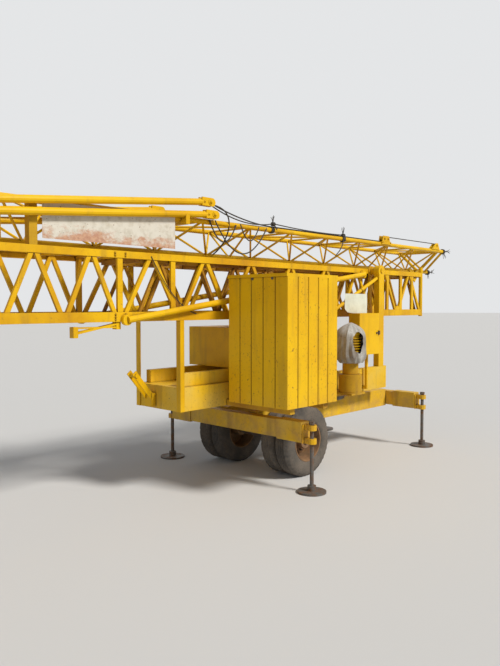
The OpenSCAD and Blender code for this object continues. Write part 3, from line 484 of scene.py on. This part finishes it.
# ---------------------------------------------------------------- wheels
def tyre_pair(tag, side):
    """Twin tyres with circumferential ribs, shoulder lugs and a rounded sidewall."""
    rim_r, tread_r, groove_r = 0.285, WHEEL_R, 0.482
    width, ribs, pitch = 0.24, 5, 0.032
    outer_y, inner_y = 0.66, 0.39      # the face of each tyre that looks inward
    bm = bmesh.new()
    for y0 in (outer_y, inner_y):
        wall = [(rim_r, y0 + 0.02), (rim_r + 0.012, y0 + 0.008), (rim_r + 0.035, y0 + 0.004),
                (rim_r + 0.05, y0 + 0.001), (0.38, y0), (0.42, y0 + 0.004),
                (0.455, y0 + 0.012), (0.476, y0 + 0.022), (0.49, y0 + 0.036)]
        tread = []
        for k in range(ribs):
            y = y0 + 0.045 + k * pitch
            tread += [(0.498, y), (tread_r, y + 0.006), (tread_r, y + 0.018), (0.497, y + 0.022)]
            if k < ribs - 1:
                tread += [(groove_r, y + 0.024), (groove_r, y + 0.03)]
        back = [(r, 2 * y0 + width - y) for r, y in reversed(wall)]
        profile = [(r, side * y) for r, y in wall + tread + back]
        first, last = len(wall) - 1, len(wall + tread)    # the two shoulders

        def lugs(i, j):
            """Gaps between the shoulder lugs, and fine cuts over the ribs."""
            if j in (first, first - 1, last, last + 1) and i % 4 < 2:
                return -0.012
            if first < j < last and i % 8 == 0:
                return -0.008
            return 0.0

        revolve(bm, profile, (AXLE_X, 0, WHEEL_R), "Y", 160, lugs)
    tyres = add(f"{tag}_tyre_pair", bm, f"wheels_{tag}", RUBBER, True)
    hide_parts(f"{tag}_tyres")


def wheel_nuts(tag, side):
    """Ten nuts on the wheel's outer face, each with the end of its stud."""
    face_y, circle_r, r, h = 0.70, 0.16, 0.016, 0.02
    bm = bmesh.new()
    for a in turn(10):
        c = (AXLE_X + circle_r * math.cos(a), side * face_y, WHEEL_R + circle_r * math.sin(a))
        disc(bm, c, "Y", r, 0, side * h, 6)
        disc(bm, c, "Y", r * 0.45, side * h, side * h * 1.8, 8)
    add(f"{tag}_wheel_nuts", bm, f"wheels_{tag}", STEEL)


for side, tag in ((-1, "near"), (1, "far")):
    tyre_pair(tag, side)
    wheel_nuts(tag, side)

# ---------------------------------------------------------------- slewing motor and its film
MOTOR_X, MOTOR_Y, _ = at(0.93, -0.95, 0)


def slew_motor():
    """The slewing motor: flange, cooling fins and fan cowl."""
    r, fin_r, pitch = 0.13, 0.16, 0.04
    profile = [(POLE, 1.57), (0.15, 1.57), (0.15, 1.60), (r, 1.61), (r, 1.64)]
    for k in range(8):
        z = 1.65 + k * pitch
        profile += [(r, z), (fin_r, z + 0.003), (fin_r, z + 0.011), (r, z + 0.014)]
    profile += [(r, 1.98), (0.145, 1.985), (0.145, 2.03), (0.11, 2.06), (POLE, 2.06)]
    bm = bmesh.new()
    revolve(bm, profile, (MOTOR_X, MOTOR_Y, 0), "Z", 36)
    add("slew_motor_body", bm, "platform", YELLOW)


def film_radius(a, t):
    """How far the film stands off the motor's axis at the angle a and the height t of 1."""
    mean_r, least_r, most_r = 0.232, 0.006, 0.268
    dome_t, hem_t = 0.55, 0.16
    r = mean_r + 0.012 * math.sin(a * 2 + 1.0)
    if t > dome_t:
        r *= 1.0 - 0.93 * ((t - dome_t) / (1 - dome_t)) ** 3.0
    if t < hem_t:
        r *= 1.0 - 0.24 * ((hem_t - t) / hem_t) ** 1.5
    around = Vector((math.cos(a), math.sin(a), 0))
    big = noise.noise(around * 1.7 + Vector((0, 0, t * 1.6)))
    small = noise.noise(around * 5.0 + Vector((3, 0, t * 5.0)))
    pleat = math.sin(a * 11 + 5 * big + 1.5 * t)
    fold = 0.03 * big + 0.006 * small
    fold += (0.004 + 0.009 * abs(t - 0.45)) * pleat * abs(pleat) * 1.4
    return max(least_r, min(r + fold * (1 - t ** 6), most_r))


def motor_film():
    """Plastic film drawn over the motor, with a torn hole towards the machine house."""
    seg, rows = 200, 96
    z_low, z_high = 1.565, 2.165
    hole_a, hole_t = math.radians(248), 0.52
    hole_w, hole_h = 0.44, 0.26
    bm = bmesh.new()
    grid = []
    for j in range(rows + 1):
        t = j / rows
        z = z_low + (z_high - z_low) * t
        row = []
        for a in turn(seg):
            r = film_radius(a, t)
            row.append(bm.verts.new((MOTOR_X + r * math.cos(a), MOTOR_Y + r * math.sin(a), z)))
        grid.append(row)
    for j in range(rows):
        for i in range(seg):
            a = 2 * math.pi * (i + 0.5) / seg
            t = (j + 0.5) / rows
            da = (a - hole_a + math.pi) % (2 * math.pi) - math.pi
            ragged = 1.0 + 0.35 * noise.noise(Vector((i * 0.12, j * 0.12, 0)))
            if (da / hole_w) ** 2 + ((t - hole_t) / hole_h) ** 2 < ragged:
                continue
            k = (i + 1) % seg
            bm.faces.new((grid[j][i], grid[j][k], grid[j + 1][k], grid[j + 1][i]))
    area = sum(f.calc_area() for f in bm.faces)
    film = add("motor_film", bm, "platform", FILM, True)
    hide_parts("drive_cover")


slew_motor()
motor_film()


# ---------------------------------------------------------------- notice
def notice_sheet():
    """A bare paper notice whose lower front corner is torn and curls up."""
    nx, nz = 32, 20
    width, height = 0.62, 0.31
    x0, y0, z0 = at(1.21, -0.6435, 2.30)
    bm = bmesh.new()
    grid = []
    for j in range(nz + 1):
        row = []
        for i in range(nx + 1):
            u, v = i / nx, j / nz
            curl = max(0.0, 0.42 - (u * 0.9 + v))
            x = x0 + width * u + curl * curl * 0.10
            y = y0 + 0.0015 * math.sin(u * 9 + v * 4) - 0.0008 * curl
            z = z0 + height * v + curl * curl * 0.16
            row.append(bm.verts.new((x, y, z)))
        grid.append(row)
    for j in range(nz):
        for i in range(nx):
            if i + j < 3:
                continue
            bm.faces.new((grid[j][i], grid[j][i + 1], grid[j + 1][i + 1], grid[j + 1][i]))
    area = sum(f.calc_area() for f in bm.faces)
    notice = add("notice", bm, "platform", PAPER, True)
    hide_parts("notice_sheet")


notice_sheet()


# ---------------------------------------------------------------- small parts
def hoop(bm, centre, along, radius, r):
    """A tie round a bar that runs through centre in the direction along."""
    d = Vector(along).normalized()
    u = d.cross(Vector((0, 1, 0))).normalized()
    v = d.cross(u)
    pts = [Vector(centre) + (u * math.cos(a) + v * math.sin(a)) * radius for a in turn(16)]
    for p, q in zip(pts, pts[1:] + pts[:1]):
        bar(bm, p, q, r, 6)


def stud(bm, centre, r, h):
    """A hexagon head with a threaded end, standing h off the face at centre along Y."""
    head = [(POLE, 0), (r, 0), (r, 0.8 * h), (0.85 * r, h), (POLE, h)]
    revolve(bm, head, centre, "Y", 6)
    tip = [(POLE, h), (0.5 * r, h), (0.5 * r, 1.5 * h), (0.4 * r, 1.6 * h), (POLE, 1.6 * h)]
    revolve(bm, tip, centre, "Y", 10)


def tuft(bm, base, aim, count, length, spread):
    """Frayed strands that leave base round the direction aim, each with one bend."""
    for _ in range(count):
        d = Vector(aim) + Vector([random.uniform(-spread, spread) for k in range(3)])
        mid = Vector(base) + d.normalized() * length * random.uniform(0.4, 0.6)
        bar(bm, base, mid, 0.005, 5)
        d += Vector([random.uniform(-spread, spread) for k in range(3)]) * 0.6
        bar(bm, mid, mid + d.normalized() * length * random.uniform(0.3, 0.5), 0.004, 5)


def frayed_ties():
    """Ties of the second cable on the near chord, its loose tail, and two frayed rope ends."""
    tie_half, end_half = 0.007, 0.008
    bm = bmesh.new()
    for x, y, z in (TIE_1, TIE_2):
        for k in (-1, 0, 1):
            band(bm, (x + 0.02 * k, -JIB_Y, JIB_Z + 0.003 * k), "X",
                 CHORD_TIE_R, 0.049, -tie_half, tie_half, 20)
            band(bm, (x + 0.018 * k, y + 0.006, z - 0.006), "X", 0.019, 0.03, -0.006, 0.006, 14)
        tuft(bm, (x, y + 0.01, z + 0.01), (0.1, 0, 1), 4, 0.12, 0.4)
        tuft(bm, (x, y - 0.01, z - 0.02), (0.3, -0.3, -1), 3, 0.09, 0.4)
    tail = [at(1.43, -0.458, 3.54), at(1.41, -0.47, 3.47), at(1.37, -0.474, 3.38),
            at(1.30, -0.47, 3.29), at(1.21, -0.462, 3.21)]
    for p, q in zip(tail, tail[1:]):
        bar(bm, p, q, 0.008, 8)
    # at the end of the near chord and of the nose tube
    for x, y, z in (at(4.86, -JIB_Y, JIB_Z), at(5.035, 0.0, 3.10)):
        for k in range(3):
            band(bm, (x - 0.018 * k, y, z), "X", CHORD_TIE_R, 0.052, -end_half, end_half, 18)
        bar(bm, (x, y - 0.03, z), (x + 0.10, y - 0.04, z + 0.01), 0.012, 8)
        tuft(bm, (x + 0.08, y - 0.04, z + 0.01), (1, -0.1, 0.1), 9, 0.09, 0.5)
        tuft(bm, (x, y, z), (0.2, -0.2, -1), 3, 0.14, 0.3)
    add("frayed_ties", bm, "jib", ROPE)


def fork_ends():
    """Rounded ends, pin bosses and nuts of the tie tubes' forks, nuts of the pulley blocks."""
    disc_r, boss_r, plate = 0.0525, 0.037, 0.018
    forks = ((-1.44, 3.58), (-1.51, 3.73))     # X and Z of the lower and the upper tie's end
    cheeks = (0.4675, 0.5245)                  # Y of the inner faces of a fork's two cheeks
    bm = bmesh.new()
    for s in (-1, 1):
        for x, z in forks:
            for y in cheeks:
                disc(bm, at(x - 0.008, s * y, z - 0.0075), "Y", disc_r, 0, s * plate, 32)
            boss = [(POLE, 0), (boss_r, 0), (boss_r - 0.003, s * 0.009), (POLE, s * 0.009)]
            revolve(bm, boss, at(x - 0.04, s * 0.542, z - 0.01), "Y", 24)
            stud(bm, at(x - 0.04, s * 0.55, z - 0.01), 0.021, s * 0.014)
            stud(bm, at(x - 0.14, s * 0.542, z - 0.01), 0.014, s * 0.011)
    for x, z in ((2.65, 3.585), (2.76, 3.585), (4.54, 3.59)):
        stud(bm, at(x, -0.46, z), 0.019, -0.013)
    for x in (2.575, 2.825):
        stud(bm, at(x, -0.465, 3.52), 0.012, -0.010)
    add("fork_ends", bm, "jib", YELLOW)


def mast_gussets():
    """Gusset plates over two lower nodes of each side of the mast."""
    outline = ((-0.10, 2.345), (0.10, 2.345), (0.03, 2.415), (-0.03, 2.415))
    bm = bmesh.new()
    for s in (-1, 1):
        for i in (6, 7):
            node_x = MAST_JOINT_X + MAST_PITCH * i
            outer = [bm.verts.new(at(node_x + dx, s * 0.4462, z)) for dx, z in outline]
            inner = [bm.verts.new(at(node_x + dx, s * 0.4375, z)) for dx, z in outline]
            bm.faces.new(outer)
            bm.faces.new(list(reversed(inner)))
            close_sides(bm, outer, inner)
    bmesh.ops.recalc_face_normals(bm, faces=bm.faces)
    add("mast_gussets", bm, "mast", MAST)


def notice_ties():
    """Two ties that hold the notice to the near brace."""
    foot_x, foot_z = -0.15, 1.85       # the brace's lower end
    run, rise = 2.35, 1.04             # from there to its upper end
    bm = bmesh.new()
    for x in (1.42, 1.70):
        z = foot_z + (x - foot_x) / run * rise
        hoop(bm, at(x, -0.61, z), (run, 0, rise), 0.0315, 0.003)
    add("notice_ties", bm, "platform", ROPE)


def mast_joint_bolts():
    """Bolts on both sides of the mast's joint, three in the lower leg and two in the upper."""
    bm = bmesh.new()
    for s in (-1, 1):
        for x in (MAST_JOINT_X - 0.10, MAST_JOINT_X + 0.04):
            for z in (2.265, 2.295, 2.325, 2.985, 3.015):
                stud(bm, at(x, s * 0.45, z), 0.013, s * 0.011)
    add("mast_joint_bolts", bm, "mast", DARK)


def latches():
    """Two lifting bolts on the house, and the latch and lock of the cabinet's door."""
    bm = bmesh.new()
    for y in (-1.03, -1.36):
        band(bm, at(-1.30, y, 2.752), "X", 0.006, 0.016, 0.003, -0.009, 18)
    box(bm, at(1.765, -0.925, 1.955), at(1.788, -0.898, 2.02))
    disc(bm, at(1.72, -0.901, 1.985), "Y", 0.014, 0, -0.02, 14)
    add("latches", bm, "platform", STEEL)


frayed_ties()
fork_ends()
mast_gussets()
notice_ties()
mast_joint_bolts()
latches()


# ---------------------------------------------------------------- floor, lamps, world
def pale_floor():
    """A plain pale floor that reaches to the horizon."""
    half = 190.0
    me = bpy.data.meshes.new("floor")
    corners = [(-half, -half, 0), (half, -half, 0), (half, half, 0), (-half, half, 0)]
    me.from_pydata(corners, [], [(0, 1, 2, 3)])
    floor = put("floor", me)
    mat = bpy.data.materials.new("floor_pale")
    mat.use_nodes = True
    bsdf = mat.node_tree.nodes["Principled BSDF"]
    bsdf.inputs["Base Color"].default_value = (0.64, 0.635, 0.625, 1)
    bsdf.inputs["Roughness"].default_value = 0.9
    me.materials.append(mat)


def lamp(name, direction, strength, angle, colour):
    """A sun lamp that shines in a direction, seen under an angle in degrees."""
    data = bpy.data.lights.new(name, "SUN")
    data.energy = strength
    data.angle = math.radians(angle)
    data.color = colour
    put(name, data).rotation_euler = Vector(direction).to_track_quat("-Z", "Y").to_euler()


def pale_world():
    """Soft blue light on the object, before a background that is shown paler."""
    world = bpy.data.worlds.new("world")
    bpy.context.scene.world = world
    world.use_nodes = True
    tree = world.node_tree
    light = tree.nodes["Background"]
    light.inputs["Color"].default_value = (0.80, 0.85, 0.92, 1)
    light.inputs["Strength"].default_value = 0.27
    backdrop = tree.nodes.new("ShaderNodeBackground")
    backdrop.inputs["Color"].default_value = (0.78, 0.79, 0.80, 1)
    backdrop.inputs["Strength"].default_value = 1.0
    path = tree.nodes.new("ShaderNodeLightPath")
    shown = path.outputs["Is Camera Ray"]
    for ray in ("Is Glossy Ray", "Is Transmission Ray"):
        either = tree.nodes.new("ShaderNodeMath")
        either.operation = "MAXIMUM"
        tree.links.new(shown, either.inputs[0])
        tree.links.new(path.outputs[ray], either.inputs[1])
        shown = either.outputs[0]
    mix = tree.nodes.new("ShaderNodeMixShader")
    tree.links.new(shown, mix.inputs["Fac"])
    tree.links.new(light.outputs[0], mix.inputs[1])
    tree.links.new(backdrop.outputs[0], mix.inputs[2])
    tree.links.new(mix.outputs[0], tree.nodes["World Output"].inputs["Surface"])


pale_floor()
lamp("key", (-0.22, 1.0, -0.95), 3.3, 12, (1.0, 0.97, 0.92))
lamp("fill", (1.0, 0.35, -0.6), 0.25, 60, (0.93, 0.96, 1.0))
pale_world()

bpy.context.scene.view_settings.view_transform = "Standard"
